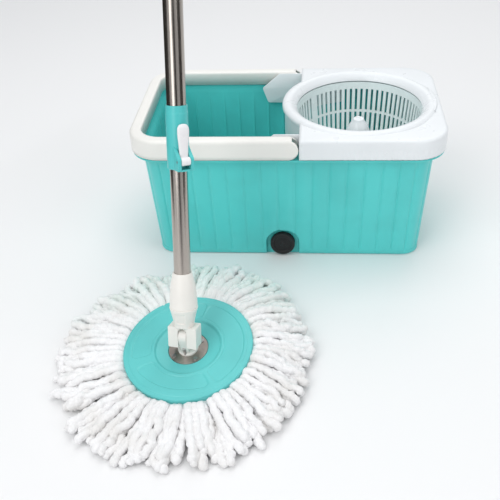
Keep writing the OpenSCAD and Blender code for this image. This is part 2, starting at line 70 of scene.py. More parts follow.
def camera_matrix():
    """A camera's axes: it looks down by the pitch, turned by the yaw, then rolled about its line of sight."""
    cp, sp = math.cos(CAMERA_PITCH), math.sin(CAMERA_PITCH)
    cy, sy = math.cos(CAMERA_YAW), math.sin(CAMERA_YAW)
    forward = np.array([sy * cp, cy * cp, -sp])
    right = np.array([cy, -sy, 0.0])
    down = np.cross(forward, right)
    cr, sr = math.cos(CAMERA_ROLL), math.sin(CAMERA_ROLL)
    matrix = np.eye(4)
    matrix[:3, 0] = right * cr + down * sr
    matrix[:3, 1] = right * sr - down * cr
    matrix[:3, 2] = -forward
    matrix[:3, 3] = CAMERA_PLACE
    return matrix


camera_data = bpy.data.cameras.new("studio_camera")
camera_data.lens, camera_data.sensor_width = LENS_MM, SENSOR_MM
camera_data.clip_start, camera_data.clip_end = 0.05, 20
camera = bpy.data.objects.new("studio_camera", camera_data)
bpy.context.scene.collection.objects.link(camera)
camera.matrix_world = Matrix(camera_matrix().tolist())
bpy.context.scene.camera = camera
print("camera at", CAMERA_PLACE)

# %% [markdown]
# ## Studio
# A pale floor and three large soft lights, with a top light and a low strip. The floor could be a plane
# with a curved backdrop, but a wide flat one is enough here, because the camera looks down and never
# sees its edge. Steel shows what stands round it, so dark cards stand at the left, the right and in
# front. They are seen only in reflections.

# %% Floor, cards and lights
FLOOR_SIZE, FLOOR_COLOUR = 6.0, (0.86, 0.86, 0.86)


def flat_card(name, corners, colour, roughness=0.6):
    """A studio card: one quad with its own plain material."""
    mesh = bpy.data.meshes.new(name)
    mesh.from_pydata([tuple(c) for c in corners], [], [(0, 1, 2, 3)])
    card = bpy.data.objects.new(name, mesh)
    bpy.context.scene.collection.objects.link(card)
    finish = bpy.data.materials.new(name)
    finish.use_nodes = True
    shader = finish.node_tree.nodes["Principled BSDF"]
    shader.inputs["Base Color"].default_value = (*colour, 1)
    shader.inputs["Roughness"].default_value = roughness
    mesh.materials.append(finish)
    return card


half = FLOOR_SIZE / 2
flat_card("studio_floor", [(-half, -half, 0), (half, -half, 0), (half, half, 0), (-half, half, 0)],
          FLOOR_COLOUR)


def dark_card(name, x, y, width, height, turn):
    """A black card that only mirrors and gloss see: an upright quad at (x, y), turned about the vertical."""
    dx, dy = math.cos(turn) * width / 2, math.sin(turn) * width / 2
    card = flat_card(name, [(x - dx, y - dy, 0.01), (x + dx, y + dy, 0.01), (x + dx, y + dy, height),
                            (x - dx, y - dy, height)], (0.03, 0.028, 0.025), 0.9)
    card.visible_camera = card.visible_diffuse = card.visible_shadow = card.visible_transmission = False
    return card


def soft_light(name, place, aim, size, power, colour=(1, 1, 1)):
    """A square area light at one place, turned towards the point it aims at."""
    data = bpy.data.lights.new(name, "AREA")
    data.shape, data.size, data.energy, data.color = "SQUARE", size, power, colour
    light = bpy.data.objects.new(name, data)
    bpy.context.scene.collection.objects.link(light)
    light.location = place
    direction = np.array(aim, float) - np.array(place, float)
    light.rotation_euler = Vector(direction).to_track_quat("-Z", "Y").to_euler()
    return light


soft_light("key_light", (-1.3, -1.6, 2.3), (0, -0.1, 0.1), 1.6, 24)
soft_light("fill_light", (1.9, -1.2, 1.6), (0, -0.1, 0.1), 1.6, 11)
soft_light("back_light", (0.3, 2.0, 2.2), (0, 0, 0.1), 1.8, 12)
soft_light("top_light", (0.0, 0.1, 2.0), (0, 0, 0.1), 1.2, 10)
soft_light("strip_light", (-0.95, -2.2, 0.75), (-0.1, -0.3, 0.45), 0.9, 6)
world = bpy.data.worlds.new("studio_world")
bpy.context.scene.world = world
world.use_nodes = True
world.node_tree.nodes["Background"].inputs["Color"].default_value = (0.95, 0.97, 1.0, 1)
world.node_tree.nodes["Background"].inputs["Strength"].default_value = 0.55
bpy.context.scene.view_settings.view_transform = "Standard"
print("studio ready")

# %% [markdown]
# ## Tools
# Every new piece is a grid of points worked out with numpy. `surface` turns a grid into quads, `joined`
# puts several grids in one list, and `piece` makes the Blender object: it merges seams, turns the faces
# outwards and marks the edges that stay crisp.

# %% Grids to meshes
def surface(points, close_rows=False, close_columns=False):
    """Vertices and quads of a (rows, columns, 3) grid; a closed direction joins its last row to its first."""
    rows, columns = points.shape[:2]
    i = np.arange(rows if close_rows else rows - 1)
    j = np.arange(columns if close_columns else columns - 1)
    i, j = (g.ravel() for g in np.meshgrid(i, j, indexing="ij"))
    i2, j2 = (i + 1) % rows, (j + 1) % columns
    quads = np.stack([i * columns + j, i2 * columns + j, i2 * columns + j2, i * columns + j2], -1)
    return points.reshape(-1, 3), quads


def joined(parts):
    """One vertex list and one quad list from several, each quad list moved past the vertices before it."""
    offsets = np.cumsum([0] + [len(v) for v, _ in parts[:-1]])
    return np.vstack([v for v, _ in parts]), np.vstack([q + o for (_, q), o in zip(parts, offsets)])


def piece(name, parts, body, finish, replaced=(), crisp=35.0, weld=1e-6):
    """An object at the origin from grids in millimetres: welded, turned outwards, riding on its body."""
    vertices, quads = joined(parts)
    mesh = bpy.data.meshes.new(name)
    mesh.from_pydata((vertices * MM).tolist(), [], quads.tolist())
    work = bmesh.new()
    work.from_mesh(mesh)
    bmesh.ops.remove_doubles(work, verts=work.verts, dist=weld)
    bmesh.ops.dissolve_degenerate(work, edges=work.edges, dist=weld)
    bmesh.ops.recalc_face_normals(work, faces=work.faces)
    work.to_mesh(mesh)
    work.free()
    mesh.polygons.foreach_set("use_smooth", np.ones(len(mesh.polygons), bool))
    mesh.set_sharp_from_angle(angle=math.radians(crisp))
    made = bpy.data.objects.new(name, mesh)
    bpy.context.scene.collection.objects.link(made)
    mesh.materials.append(finish)
    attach(made, body)
    if replaced:
        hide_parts(*replaced)
    print(name, len(mesh.vertices), "points", len(mesh.polygons), "faces")
    return made


# %% Profiles
def rounded(points, radii, steps=6):
    """A path whose corners are bent: each is cut back by its radius, and a quadratic curve joins the cuts."""
    points = np.array(points, float)
    radii = np.broadcast_to(radii, len(points))
    path = [points[:1]]
    t = np.linspace(0, 1, steps + 1)[:, None]
    for before, corner, after, radius in zip(points[:-2], points[1:-1], points[2:], radii[1:-1]):
        if radius <= 0:
            path.append(corner[None])
            continue
        back, on = before - corner, after - corner
        cut = min(radius, 0.48 * np.linalg.norm(back), 0.48 * np.linalg.norm(on))
        start = corner + back / np.linalg.norm(back) * cut
        end = corner + on / np.linalg.norm(on) * cut
        path.append((1 - t) ** 2 * start + 2 * t * (1 - t) * corner + t ** 2 * end)
    path.append(points[-1:])
    return np.vstack(path)


def turned(profile, sides=96, centre=(0, 0)):
    """A (radius, height) profile turned about a vertical line: x = r cos a, y = r sin a, z = h."""
    angle = np.linspace(0, 2 * np.pi, sides, endpoint=False)
    r, h = profile[:, :1], profile[:, 1:]
    return np.stack([centre[0] + r * np.cos(angle), centre[1] + r * np.sin(angle),
                     np.broadcast_to(h, (len(h), sides))], -1)


def smooth_step(x, low, high):
    """0 below low, 1 above high, and 3t^2 - 2t^3 between them."""
    t = np.clip((x - low) / (high - low), 0, 1)
    return t * t * (3 - 2 * t)


# %% [markdown]
# The head and the pole lean, so their pieces are made upright, about the tilt pivot, and are then
# turned into place. The frame's joints say where the pivot is and which way the pole points.

# %% Frames of the head, the pole and the lever
POLE_LEAN = math.radians(25.2)
LEVER_TURN = math.radians(-45)
pivot = np.array(joints["head_tilt"]["pos_m"]) / MM
across = np.array(joints["head_tilt"]["axis"])
along = np.array(joints["pole_slide"]["axis"])
behind = np.cross(along, across)
plate_normal = along * math.cos(POLE_LEAN) + np.cross(across, along) * math.sin(POLE_LEAN)
HEAD = np.stack([across, np.cross(plate_normal, across), plate_normal])
POLE = np.stack([across, behind, along])
LEVER = np.stack([across * math.cos(LEVER_TURN) + behind * math.sin(LEVER_TURN),
                  behind * math.cos(LEVER_TURN) - across * math.sin(LEVER_TURN), along])


def placed(points, axes):
    """A point of a frame about the pivot, in the shared frame: the pivot plus each coordinate on its axis."""
    return pivot + points @ axes


print("plate normal", plate_normal.round(3), "pole", along.round(3))

# %% [markdown]
# ## Materials
# A material is a small program. `Wire` wraps one socket, so a sum or a product of wires adds the Math
# nodes that do it, and `make` adds any other node. Only colour, roughness and bump vary over a surface.

# %% Shader maths
class Wire:
    """One socket of a node tree. Arithmetic on it adds Math nodes, and make() adds any other node."""

    def __init__(self, tree, socket=None):
        self.tree, self.socket = tree, socket

    def make(self, kind, settings=None, inputs=None, out=0):
        """A node of one kind: its settings first, then the value or wire of each input, by name or number."""
        node = self.tree.nodes.new(kind)
        for key, value in (settings or {}).items():
            if key == "stops":
                ramp = node.color_ramp
                while len(ramp.elements) < len(value):
                    ramp.elements.new(0.5)
                for element, (place, colour) in zip(ramp.elements, value):
                    element.position, element.color = place, (*colour, 1)
            else:
                setattr(node, key, value)
        for key, value in (inputs or {}).items():
            if isinstance(value, Wire):
                self.tree.links.new(value.socket, node.inputs[key])
            else:
                node.inputs[key].default_value = value
        return Wire(self.tree, node.outputs[out])

    def math(self, operation, *values):
        return self.make("ShaderNodeMath", {"operation": operation}, dict(enumerate(values)))

    def __add__(self, other):
        return self.math("ADD", self, other)

    def __sub__(self, other):
        return self.math("SUBTRACT", self, other)

    def __rsub__(self, other):
        return self.math("SUBTRACT", other, self)

    def __mul__(self, other):
        return self.math("MULTIPLY", self, other)

    __radd__, __rmul__ = __add__, __mul__

    def between(self, low, high):
        """0 below low and 1 above high, smoothly."""
        return self.make("ShaderNodeMapRange", {"interpolation_type": "SMOOTHSTEP"},
                         {"Value": self, "From Min": low, "From Max": high})

    def mixed(self, first, second):
        """The first colour where this wire is 0 and the second where it is 1."""
        first, second = (c if isinstance(c, Wire) else (*c, 1) for c in (first, second))
        return self.make("ShaderNodeMix", {"data_type": "RGBA"}, {0: self, 6: first, 7: second}, 2)

    def noise(self, place, scale, detail=2.0, stretch=(1, 1, 1)):
        """Noise on a point, stretched along the axes."""
        place = self.make("ShaderNodeMapping", None, {"Vector": place, "Scale": stretch})
        return self.make("ShaderNodeTexNoise", None, {"Vector": place, "Scale": scale, "Detail": detail})


def material(name, build, **constants):
    """A material: constants go on the shader's own sockets, and build(wire, place) returns what varies."""
    made = bpy.data.materials.new(name)
    made.use_nodes = True
    tree = made.node_tree
    shader = tree.nodes["Principled BSDF"]
    for key, value in constants.items():
        shader.inputs[key.replace("_", " ")].default_value = value
    wire = Wire(tree)
    place = wire.make("ShaderNodeTexCoord", out="Object")
    for key, value in build(wire, place).items():
        tree.links.new(value.socket, shader.inputs[key])
    return made


# %% [markdown]
# Moulded plastic isn't one flat colour. The pigment clouds a little, the gloss changes where the mould
# was polished or worn, fingers and water leave a dull haze, and the surface has a fine ripple. Each is a
# noise of its own scale, and a few darker specks are scattered at random.

# %% Plastic
def plastic(name, colour, gloss, cloud=0.05, ripple=0.12, grain=900.0, dusk=None):
    """Moulded plastic: clouded colour, patchy gloss, and a bump of slow ripple plus fine grain."""
    dark = tuple(c * (1 - cloud) for c in colour)
    light = tuple(min(1, c * (1 + cloud)) for c in colour)

    def build(wire, place):
        clouds = wire.noise(place, 14, 3).between(0.3, 0.7)
        specks = wire.noise(place, 420, 2).between(0.62, 0.74)
        tint = clouds.mixed(dark, light)
        tint = (specks * 0.06).mixed(tint, dusk or dark)
        haze = wire.noise(place, 32, 4)
        swirl = wire.noise(place, 60, 2, (1, 1, 0.25))
        height = swirl * 0.6 + wire.noise(place, grain, 1) * 0.25
        bump = wire.make("ShaderNodeBump", None, {"Strength": ripple, "Distance": 0.0006, "Height": height})
        return {"Base Color": tint, "Roughness": haze * 0.22 + (gloss - 0.11), "Normal": bump}

    return material(name, build, Coat_Weight=0.0, IOR=1.49)


TEAL = (0.090, 0.610, 0.590)
DEEP_TEAL = (0.050, 0.500, 0.490)
tub_finish = plastic("teal_tub_plastic", TEAL, 0.34, dusk=DEEP_TEAL)
plate_finish = plastic("teal_plate_plastic", (0.120, 0.560, 0.550), 0.36, ripple=0.1, dusk=DEEP_TEAL)
sleeve_finish = plastic("teal_sleeve_plastic", (0.085, 0.545, 0.540), 0.32, dusk=DEEP_TEAL)
grip_finish = plastic("teal_grip_plastic", (0.070, 0.500, 0.490), 0.55, ripple=0.3, grain=1500)
cover_finish = plastic("cool_white_plastic", (0.800, 0.828, 0.845), 0.30, cloud=0.02, ripple=0.06)
handle_finish = plastic("warm_white_plastic", (0.835, 0.825, 0.785), 0.34, cloud=0.02)
basket_finish = plastic("basket_plastic", (0.790, 0.875, 0.870), 0.30, cloud=0.03)
hub_finish = plastic("hub_plastic", (0.800, 0.830, 0.850), 0.28, cloud=0.02)
fork_finish = plastic("fork_plastic", (0.840, 0.815, 0.765), 0.36, cloud=0.03, dusk=(0.62, 0.55, 0.46))
lever_finish = plastic("lever_plastic", (0.850, 0.840, 0.850), 0.30, cloud=0.02)
bush_finish = plastic("bush_plastic", (0.700, 0.700, 0.660), 0.45)
black_finish = plastic("black_plastic", (0.020, 0.020, 0.021), 0.50, cloud=0.2)
print("plastics ready")


# %% [markdown]
# The steel tubes are polished along their length, so their scratches run with the pole. The pattern has
# to turn with the pole: a Mapping node can do that, but the pole's lean is already in the mesh, so the
# point is stretched along the pole's own direction instead, by taking its height along the pole apart.

# %% Metals and rubber
def polished_along(name, colour, rough, direction, scratch=0.35):
    """Metal with scratches along a direction: noise on the point minus most of its part along it."""
    def build(wire, place):
        dot = wire.make("ShaderNodeVectorMath", {"operation": "DOT_PRODUCT"}, {0: place, 1: tuple(direction)},
                        "Value")
        part = wire.make("ShaderNodeVectorMath", {"operation": "SCALE"},
                         {0: tuple(direction), "Scale": dot * 0.97})
        flat = wire.make("ShaderNodeVectorMath", {"operation": "SUBTRACT"}, {0: place, 1: part})
        lines = wire.noise(flat, 1400, 2)
        smears = wire.noise(flat, 90, 3)
        tint = smears.between(0.3, 0.7).mixed(tuple(c * 0.88 for c in colour), colour)
        bump = wire.make("ShaderNodeBump", None, {"Strength": scratch, "Distance": 0.0001, "Height": lines})
        return {"Base Color": tint, "Roughness": lines * 0.10 + smears * 0.10 + (rough - 0.1), "Normal": bump}

    return material(name, build, Metallic=1.0)


def metal(name, colour, rough, scale=500.0):
    """Turned or cast metal: a fine noise in its gloss and its bump."""
    def build(wire, place):
        grain = wire.noise(place, scale, 3)
        wear = wire.noise(place, 60, 3).between(0.35, 0.7)
        tint = wear.mixed(tuple(c * 0.75 for c in colour), colour)
        bump = wire.make("ShaderNodeBump", None, {"Strength": 0.25, "Distance": 0.0003, "Height": grain})
        return {"Base Color": tint, "Roughness": grain * 0.2 + (rough - 0.1), "Normal": bump}

    return material(name, build, Metallic=1.0)


def rubber(name, colour):
    """Soft black rubber: dull, dusty in patches, with a fine pebbled bump."""
    def build(wire, place):
        dust = wire.noise(place, 70, 4).between(0.45, 0.8)
        pebble = wire.noise(place, 1300, 2)
        bump = wire.make("ShaderNodeBump", None, {"Strength": 0.3, "Distance": 0.0003, "Height": pebble})
        return {"Base Color": dust.mixed(colour, tuple(c * 1.8 + 0.004 for c in colour)),
                "Roughness": dust * 0.15 + 0.62, "Normal": bump}

    return material(name, build)


tube_finish = polished_along("polished_tube_steel", (0.50, 0.455, 0.415), 0.20, along)
bright_finish = metal("turned_steel", (0.60, 0.60, 0.60), 0.32)
stamped_finish = metal("stamped_steel", (0.52, 0.46, 0.42), 0.36, 260)
brass_finish = metal("cast_brass", (0.66, 0.47, 0.19), 0.38)
rubber_finish = rubber("plug_rubber", (0.008, 0.008, 0.009))
print("metals ready")

# %% [markdown]
# ## The bucket's outline
# The tub, the cover and the handle all follow one outline, a rectangle with round corners. One function
# takes the distance round it and gives where that lies, so a profile can be carried round at any inset.
# The rim's size comes from the frame: the handle's and the cover's boxes.

# %% Round rectangle
rim_low = np.minimum(*(np.array(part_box(n)[0]) for n in ("carry_handle", "splash_cover"))) / MM
rim_high = np.maximum(*(np.array(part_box(n)[1]) for n in ("carry_handle", "splash_cover"))) / MM
RIM_W, RIM_D = rim_high[0] - rim_low[0], rim_high[1] - rim_low[1]
RIM_TOP, RIM_R, BAND_H = float(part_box("carry_handle")[1][2]) / MM, 47.0, 29.0
BAND_LOW = RIM_TOP - BAND_H
FLANGE_TOP = BAND_LOW - 1.5


class Outline:
    """A round rectangle at one inset, measured from the middle of the front, anticlockwise from above."""

    def __init__(self, inset, corner):
        half_w, half_d = RIM_W / 2 - inset - corner, RIM_D / 2 - inset - corner
        bend = math.pi * corner / 2
        steps = [0, half_w, bend, 2 * half_d, bend, 2 * half_w, bend, 2 * half_d, bend, half_w]
        self.stops = np.cumsum(steps)
        self.length = self.stops[-1]

    def at(self, distance):
        """For each distance: which corner centre (x and y from -1 to 1) and which way out (an angle)."""
        turn = np.interp(distance, self.stops, np.radians([-90, -90, 0, 0, 90, 90, 180, 180, 270, 270]))
        x = np.interp(distance, self.stops, [0, 1, 1, 1, 1, -1, -1, -1, -1, 0])
        y = np.interp(distance, self.stops, [-1, -1, -1, 1, 1, 1, 1, -1, -1, -1])
        return x, y, turn


def carried(profile, spots):
    """Rows of (inset, height, corner radius) carried round: corner centre plus radius times way out."""
    x, y, turn = spots
    inset, height, corner = (profile[:, k:k + 1] for k in range(3))
    centre_x, centre_y = RIM_W / 2 - inset - corner, RIM_D / 2 - inset - corner
    return np.stack([x * centre_x + corner * np.cos(turn), y * centre_y + corner * np.sin(turn),
                     np.broadcast_to(height, (len(profile), len(turn)))], -1)


print("rim", round(RIM_W, 1), round(RIM_D, 1), round(RIM_TOP, 1))

# %% [markdown]
# ## The tub
# The tub is one moulding: a tapered wall with upright flutes, a rounded foot, a flange that the band
# sits over, and a low collar that holds the cover. It could be a box with bevels, but the flutes have to
# follow the wall round the corners. So one closed profile, from the middle of the underside over the
# rim to the middle of the floor, is carried round the outline, and the wall is then pushed in along its
# own normal where a flute's groove or the drain's pocket is.

# %% Tub profile
WALL_INSET, WALL_DRAFT, WALL_T, FLOOR_T = 12.0, 10.0, 2.4, 3.0
FOOT_CORNER, TOP_CORNER = 29.0, 35.0
FLUTE_PITCH, FLUTE_DEPTH, FLUTE_WIDTH, PILLOW = 24.6, 1.3, 1.6, 0.45
POCKET_X, POCKET_Z, POCKET_R = -7.0, 21.0, 23.5
END_LEAN = 4.0


def wall_rows(heights, shift):
    """Inset, height and corner radius of the tapered wall, moved in by the shift."""
    share = heights / FLANGE_TOP
    inset = WALL_INSET + WALL_DRAFT * (1 - share) + shift
    corner = FOOT_CORNER + (TOP_CORNER - FOOT_CORNER) * share - 0.6 * shift
    return np.stack([inset, heights, corner], -1)


def tub_profile():
    """The closed profile's rows and, for each, how much of the flutes and of the pocket it takes."""
    low = np.concatenate([np.linspace(9, 50, 22), np.linspace(60, FLANGE_TOP - 6, 8)])
    foot = rounded([(RIM_D / 2, 0), (23.5, 0), (21.4, 9)], [0, 7, 0], 7)
    foot = foot[foot[:, 0] < RIM_D / 2]
    corner = np.interp(foot[:, 0], [21, 30], [FOOT_CORNER, 22])
    under = np.array([[RIM_D / 2 - 0.5, 0, 0.5], [90, 0, 3], [50, 0, 12]])
    outside = wall_rows(low, 0)
    flange = rounded([(WALL_INSET + 0.2, FLANGE_TOP - 5), (WALL_INSET, FLANGE_TOP - 3), (1.5, FLANGE_TOP - 3),
                      (1.5, FLANGE_TOP), (12.3, FLANGE_TOP), (12.3, FLANGE_TOP + 8), (14.1, FLANGE_TOP + 8),
                      (14.1, FLANGE_TOP + 0.5), (14.6, FLANGE_TOP - 3)], [0, 1, 1, 1, 1, 0.7, 0.7, 0.5, 0], 3)
    flange = np.column_stack([flange, np.clip(RIM_R - flange[:, 0], TOP_CORNER - 3, None)])
    inside = wall_rows(low[::-1], WALL_T)
    bottom = rounded([(WALL_INSET + WALL_DRAFT + WALL_T - 0.5, 9), (26, FLOOR_T), (RIM_D / 2, FLOOR_T)],
                     [0, 7, 0], 7)[:-1]
    bottom = np.column_stack([bottom, np.interp(bottom[:, 0], [23, 32], [FOOT_CORNER - 2, 20])])
    middle = np.array([[50, FLOOR_T, 12], [90, FLOOR_T, 3], [RIM_D / 2 - 0.5, FLOOR_T, 0.5]])
    foot = np.column_stack([foot, corner])
    rows = np.vstack([under, foot, outside, flange, inside, bottom, middle])
    walls = np.concatenate([np.zeros(len(under)), np.linspace(0, 1, len(foot)) ** 2, np.ones(len(outside)),
                            np.zeros(len(flange)), np.ones(len(inside)),
                            np.linspace(1, 0, len(bottom)) ** 2, np.zeros(len(middle))])
    inner = np.concatenate([np.zeros(len(under) + len(foot) + len(outside) + len(flange)),
                            np.ones(len(inside) + len(bottom) + len(middle))])
    return rows, walls, inner


# %% Tub wall
def flute_columns(outline, pitch):
    """Distances round the outline, dense at each groove and at the pocket, the same front and back."""
    count = round(outline.length / pitch)
    count += count % 2
    one = np.array([-0.5, -0.38, -0.27, -0.17, -0.11, -0.075, -0.045, -0.02, 0,
                    0.02, 0.045, 0.075, 0.11, 0.17, 0.27, 0.38]) + 0.5
    grooves = ((np.arange(count)[:, None] + one) / count).ravel() * outline.length
    dense = np.arange(-36, 37, 1.5)
    front, back = dense % outline.length, outline.length / 2 + dense
    both = np.concatenate([grooves, front, back])
    mirrored = (outline.length * 1.5 - both) % outline.length
    opposite = (outline.length / 2 - both) % outline.length
    columns = np.unique(np.concatenate([both, opposite, mirrored]).round(2))
    return columns[np.concatenate([[True], np.diff(columns) > 0.25])], count


def tub_surface():
    """The profile carried round, then moved inwards by bell-shaped grooves and the arched drain pocket."""
    outline = Outline(WALL_INSET + WALL_DRAFT / 2, 32)
    columns, count = flute_columns(outline, FLUTE_PITCH)
    rows, walls, inner = tub_profile()
    points = carried(rows, outline.at(columns))
    turn = outline.at(columns)[2]
    inward = -np.stack([np.cos(turn), np.sin(turn), np.zeros_like(turn)], -1)
    phase = (columns / outline.length * count) % 1 - 0.5
    off = np.abs(phase) * outline.length / count
    groove = FLUTE_DEPTH * np.exp(-(off / FLUTE_WIDTH) ** 2) + PILLOW * np.cos(2 * np.pi * phase)
    height = rows[:, 1]
    lean = END_LEAN * walls * (1 - smooth_step(height, FLANGE_TOP - 7, FLANGE_TOP - 3))
    ends = smooth_step(np.abs(points[..., 0]), RIM_W / 2 - 75, RIM_W / 2 - 45)
    points[..., 0] -= np.sign(points[..., 0]) * ends * lean[:, None]
    fade = walls * smooth_step(height, 3, 16) * (1 - smooth_step(height, FLANGE_TOP - 14, FLANGE_TOP - 6))
    points += fade[:, None, None] * groove[:, None] * inward
    x, z = points[..., 0], points[..., 2]
    reach = np.hypot(x - POCKET_X, np.maximum(z - POCKET_Z, 0))
    edge = 1 - smooth_step(reach, POCKET_R, POCKET_R + 1.6)
    wider = 1 - smooth_step(reach, POCKET_R + WALL_T, POCKET_R + WALL_T + 1.6)
    share = np.where(inner[:, None] > 0, wider, edge) * (points[..., 1] < -60)
    flat = np.where(inner[:, None] > 0, -97.6, -100.0)
    points[..., 1] = np.where(share > 0, points[..., 1] + share * (np.maximum(flat, points[..., 1])
                                                                   - points[..., 1]), points[..., 1])
    return points


def stadium(x, low, centre_z, radius, y0, y1, soft=0.8):
    """An upright slab with a round top: its outline in x and z, carried through y with softened edges."""
    angle = np.radians(np.linspace(0, 180, 25))
    outline = np.concatenate([[[radius, low - centre_z]], np.stack([radius * np.cos(angle),
                              radius * np.sin(angle)], -1), [[-radius, low - centre_z]]])
    depth = np.array([y0, y0, y0 + soft * 0.3, y0 + soft, y1 - soft, y1 - soft * 0.3, y1, y1])
    size = np.array([0, 1 - soft / radius, 1 - soft * 0.3 / radius, 1, 1, 1 - soft * 0.3 / radius,
                     1 - soft / radius, 0])
    grid = outline[None] * size[:, None, None]
    return np.stack([x + grid[..., 0], np.broadcast_to(depth[:, None], grid.shape[:2]),
                     centre_z + grid[..., 1]], -1)


PIVOT_X = joints["handle_swing"]["pos_m"][0] / MM
PIVOT_Z = joints["handle_swing"]["pos_m"][2] / MM
POST_R, POST_IN, POST_OUT = 10, 114.2, 118.4
posts = [surface(stadium(PIVOT_X, FLANGE_TOP - 2, PIVOT_Z, POST_R, y0, y1), False, True)
         for y0, y1 in ((-POST_OUT, -POST_IN), (POST_IN, POST_OUT))]
piece("bucket_tub", [surface(tub_surface(), False, True), *posts], "bucket", tub_finish,
      ["tub"], crisp=50, weld=2e-5)

# %% [markdown]
# ## The splash cover
# The white cover closes the right half of the rim. It is a skirt with a flat top, a raised ring round
# the basket's mouth, two ears that reach in beside the handle, and a wall that hangs from the ring and
# keeps the water in. The skirt and the top are one sheet: its rows go up the skirt, over the soft edge
# and in to the ring's circle. A Solidify modifier then gives the sheet its thickness.

# %% Cover sheet
BAND_T = 2.5
SPLIT_X = PIVOT_X + BAND_H / 2 + 1.0
BASKET_X = joints["basket_spin"]["pos_m"][0] / MM
MOUTH_R = 91.5
RING_R = MOUTH_R + 22
RIB_PITCH, RIB_DEPTH, RIB_TOP = 7.4, 0.45, 15.0


def cover_sheet():
    """Rows: up the skirt, over a rounded edge, then straight lines from the outline to the ring's circle."""
    outline = Outline(0, RIM_R)
    columns = np.unique(np.concatenate([np.linspace(SPLIT_X, outline.length / 2 - SPLIT_X, 150),
                                        np.arange(66, outline.length / 2 - 66, RIB_PITCH / 6)]).round(2))
    spots = outline.at(columns)
    edge = rounded([(0, BAND_LOW), (0, RIM_TOP), (14, RIM_TOP)], [0, 5.5, 0], 7)
    skirt = np.linspace(BAND_LOW, BAND_LOW + RIB_TOP + 2, 9)
    edge = np.vstack([np.column_stack([np.zeros(9), skirt]), edge[1:]])
    rows = np.column_stack([edge, RIM_R - edge[:, 0]])
    points = carried(rows, spots)
    turn = spots[2]
    ribbed = smooth_step(columns, 66, 80) * (1 - smooth_step(columns, outline.length / 2 - 80,
                                                             outline.length / 2 - 66))
    wave = (0.5 - 0.5 * np.cos(2 * np.pi * columns / RIB_PITCH)) ** 2 * ribbed
    fade = 1 - smooth_step(points[..., 2], BAND_LOW + RIB_TOP - 2, BAND_LOW + RIB_TOP + 1)
    points[..., 0] -= RIB_DEPTH * wave * fade * np.cos(turn)
    points[..., 1] -= RIB_DEPTH * wave * fade * np.sin(turn)
    rim = points[-1]
    circle = RING_R - 2
    angle = np.arctan2(rim[:, 1], rim[:, 0] - BASKET_X)
    beside = np.stack([rim[:, 0], np.sign(rim[:, 1]) * np.sqrt(np.maximum(
        circle ** 2 - (rim[:, 0] - BASKET_X) ** 2, 0))], -1)
    around = np.stack([BASKET_X + circle * np.cos(angle), circle * np.sin(angle)], -1)
    target = np.where((rim[:, 0] < BASKET_X)[:, None], beside, around)
    t = np.linspace(0, 1, 8)[1:, None, None]
    flat = rim[None, :, :2] * (1 - t) + target[None] * t
    top = np.concatenate([flat, np.full((*flat.shape[:2], 1), RIM_TOP)], -1)
    return np.concatenate([points, top], 0)


def ring_profile():
    """The raised ring's closed section as (radius, height): a lip at the mouth, a crest, an outer fall."""
    top = RIM_TOP
    return rounded([(MOUTH_R + 2.5, top - 9), (MOUTH_R, top - 8), (MOUTH_R + 2.5, top - 3.5),
                    (MOUTH_R + 8, top + 1.6), (MOUTH_R + 13, top + 3), (RING_R - 4, top + 2.2),
                    (RING_R, top - 1), (RING_R, top - 6), (RING_R - 2.5, top - 6), (RING_R - 2.5, top - 3),
                    (RING_R - 5, top - 1), (MOUTH_R + 12, top), (MOUTH_R + 7, top - 3),
                    (MOUTH_R + 2.5, top - 9)], [0, 0.8, 4, 5, 5, 4, 4, 1, 1, 2, 3, 3, 3, 0], 5)[:-1]


def splash_wall():
    """A thin arc of wall round the left of the ring: a closed rectangle section turned through its angles."""
    radius = RING_R - 3.5
    reach = math.acos((RIM_D / 2 - 23.2) / radius)
    angle = np.linspace(math.pi / 2 + reach * 0.93, 1.5 * math.pi - reach * 0.93, 90)
    section = rounded([(radius - 1, 154), (radius, 154), (radius, RIM_TOP - 2), (radius - 2, RIM_TOP - 2),
                       (radius - 2, 154), (radius - 1, 154)], [0, 0.9, 0, 0, 0.9, 0], 3)[:-1]
    r, z = section[:, :1], section[:, 1:]
    return np.stack([BASKET_X + r * np.cos(angle), r * np.sin(angle), np.broadcast_to(z, (len(r), 90))], -1)


def ear(side):
    """A flat ear: its outline in x and z shrinks to its middle on both faces, which closes it."""
    top = RIM_TOP - 0.8
    corners = rounded([(-17, top), (-45, RIM_TOP - 25), (-36, 154), (83, 154), (83, top), (-17, top)],
                      [0, 3, 3, 3, 3, 0], 4)[:-1]
    middle = np.array([20, 180])
    y_out, y_in = RIM_D / 2 - 21.1, RIM_D / 2 - 23.1
    sizes = np.array([0, 0.985, 0.995, 1, 1, 0.995, 0.985, 0])
    depth = np.array([y_out, y_out, y_out - 0.15, y_out - 0.6, y_in + 0.6, y_in + 0.15, y_in, y_in])
    grid = middle + (corners - middle)[None] * sizes[:, None, None]
    return np.stack([grid[..., 0], side * np.broadcast_to(depth[:, None], grid.shape[:2]), grid[..., 1]], -1)


cover = piece("splash_cover_sheet", [surface(cover_sheet())], "bucket", cover_finish,
              ["splash_cover"], crisp=50)
thick = cover.modifiers.new("wall", "SOLIDIFY")
thick.thickness, thick.offset = BAND_T * MM, -1.0
ring = piece("splash_cover_ring", [surface(turned(ring_profile(), 160, (BASKET_X, 0)), True, True)], "bucket",
             cover_finish, ["splash_cover"], crisp=45)
piece("splash_cover_baffle", [surface(splash_wall(), True), surface(ear(1), False, True),
                              surface(ear(-1), False, True)],
      "bucket", cover_finish, ["splash_cover"])

# %% [markdown]
# ## The carry handle
# The left half of the rim is the handle: a U-shaped channel that lies on the flange and swings up. Its
# sheet goes up the outer face, over the top and down the inner face. Near its ends the heights shrink
# towards the pin's height as the height of a circle does, which rounds the ends. Between its legs each
# end stays open, so that the handle clears the tub's post and collar when it stands up.

